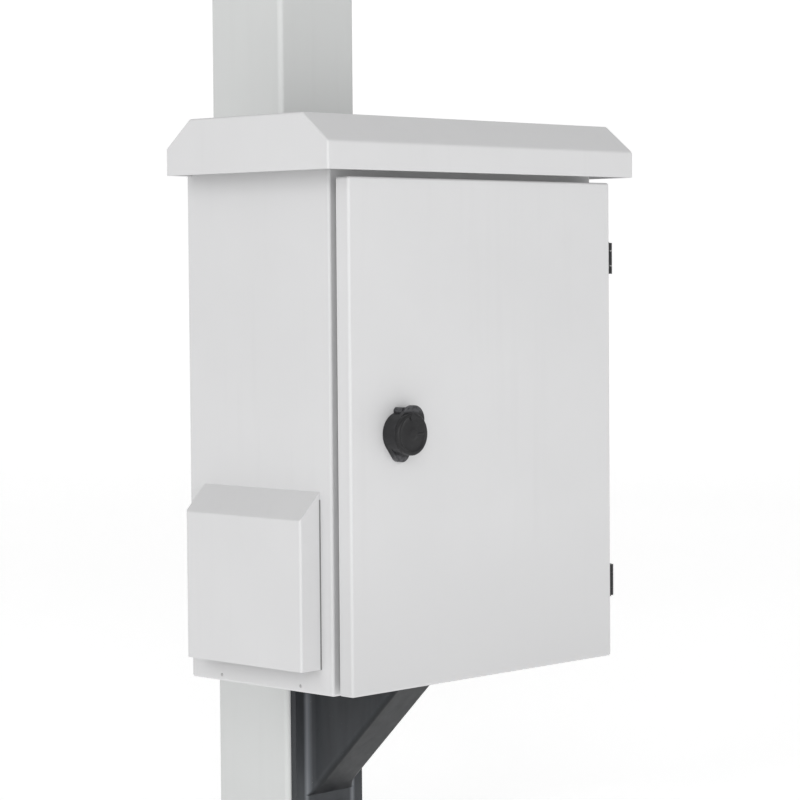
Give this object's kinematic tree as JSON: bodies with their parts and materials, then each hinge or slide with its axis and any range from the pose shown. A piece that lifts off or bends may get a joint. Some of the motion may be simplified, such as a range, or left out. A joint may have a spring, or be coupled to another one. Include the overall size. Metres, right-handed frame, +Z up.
{
  "type": "pole-mounted equipment cabinet",
  "caption": "Light grey sheet-steel outdoor equipment cabinet with sloped rain roof, hinged door, round key lock and side vent hood, bracketed to a square steel post.",
  "frame": {"origin": "centre of the square post's foot, on the post's axis", "axes": "+Z up along the post, -Y the way the door faces, +X towards the hinge side, at the right of somebody facing the door"},
  "size_m": [0.413, 0.3388, 0.85],
  "materials": {
    "post_paint": "satin light grey paint",
    "cabinet_paint": "fine satin light grey powder coat",
    "door_paint": "fine satin light grey powder coat",
    "roof_paint": "fine satin light grey powder coat",
    "hood_paint": "fine satin light grey powder coat",
    "grille_paint": "light grey powder coat",
    "dark_paint": "satin charcoal paint",
    "dark_fastener": "charcoal painted steel",
    "zinc": "bright zinc plate",
    "galvanised": "galvanised sheet",
    "rivet_steel": "dull steel",
    "brass": "plain brass",
    "rubber": "matt black rubber",
    "filter_fleece": "white fleece",
    "black_plastic": "black glass-filled plastic",
    "fan_plastic": "black plastic",
    "device_grey": "light grey moulded plastic",
    "toggle_black": "black moulded plastic",
    "psu_metal": "brushed aluminium case",
    "controller_plastic": "dark grey plastic",
    "terminal_plastic": "grey polyamide",
    "duct_plastic": "grey PVC",
    "hinge_black": "black painted zinc casting",
    "hinge_pin_steel": "steel pin",
    "gasket_foam": "foamed black sealing strip",
    "lock_black": "black satin casting",
    "cover_black": "black satin moulding",
    "cover_pin": "black pin",
    "core_metal": "satin chrome"
  },
  "bodies": {
    "cabinet": {"bracket_back_plate": "dark_paint", "bracket_bolts": "dark_fastener", "bracket_foot_bolts": "dark_fastener", "bracket_nuts": "zinc", "breaker": "device_grey", "cabinet_back": "cabinet_paint", "cabinet_bolts": "zinc", "cabinet_wrap": "cabinet_paint", "cable_bush": "rubber", "controller": "controller_plastic", "din_rail_lower": "zinc", "din_rail_upper": "zinc", "earth_stud": "brass", "fan_frame": "black_plastic", "fan_screws": "zinc", "filter_mat": "filter_fleece", "hinge_body_leaf_lower": "hinge_black", "hinge_body_leaf_upper": "hinge_black", "hinge_pin_lower": "hinge_pin_steel", "hinge_pin_upper": "hinge_pin_steel", "mounting_plate": "galvanised", "mounting_rail_lower": "zinc", "mounting_rail_upper": "zinc", "plate_nuts": "zinc", "plate_standoffs": "zinc", "post": "post_paint", "power_supply": "psu_metal", "rail_bolts": "zinc", "rail_nuts": "zinc", "roof": "roof_paint", "roof_bolts": "zinc", "roof_channels": "zinc", "roof_nuts": "zinc", "side_hood": "hood_paint", "side_rivets": "rivet_steel", "support_bracket": "dark_paint", "terminal_blocks": "terminal_plastic", "tray_bolts": "zinc", "tray_nuts": "zinc", "vent_grille": "grille_paint", "wiring_duct": "duct_plastic"},
    "door": {"door_panel": "door_paint", "door_gasket": "gasket_foam", "door_stiffener": "door_paint", "hinge_door_leaf_lower": "hinge_black", "hinge_door_leaf_upper": "hinge_black", "lock_housing": "lock_black", "lock_nut": "zinc", "cover_pivot": "cover_pin"},
    "lock": {"lock_core": "core_metal", "lock_cam": "zinc", "cam_nut": "zinc"},
    "dust_cover": {"dust_cover": "cover_black"},
    "fan_rotor": {"fan_rotor": "fan_plastic"},
    "breaker_toggle": {"breaker_toggle": "toggle_black"}
  },
  "joints": [
    {"name": "door_hinge", "type": "hinge", "parent": "cabinet", "child": "door", "pos_m": [0.1865, -0.2565, 0.4205], "axis": [0, 0, 1], "range_deg": [0, 120]},
    {"name": "lock_turn", "type": "hinge", "parent": "door", "child": "lock", "pos_m": [-0.118, -0.2693, 0.4219], "axis": [0, 1, 0], "range_deg": [0, 90]},
    {"name": "cover_swing", "type": "hinge", "parent": "door", "child": "dust_cover", "pos_m": [-0.118, -0.2867, 0.4369], "axis": [0, 1, 0], "range_deg": [-120, 120]},
    {"name": "fan_spin", "type": "hinge", "parent": "cabinet", "child": "fan_rotor", "pos_m": [-0.16, -0.154, 0.28025], "axis": [1, 0, 0], "continuous": true},
    {"name": "breaker_lever", "type": "hinge", "parent": "cabinet", "child": "breaker_toggle", "pos_m": [-0.085, -0.148, 0.52], "axis": [1, 0, 0], "range_deg": [-84, 0]}
  ]
}
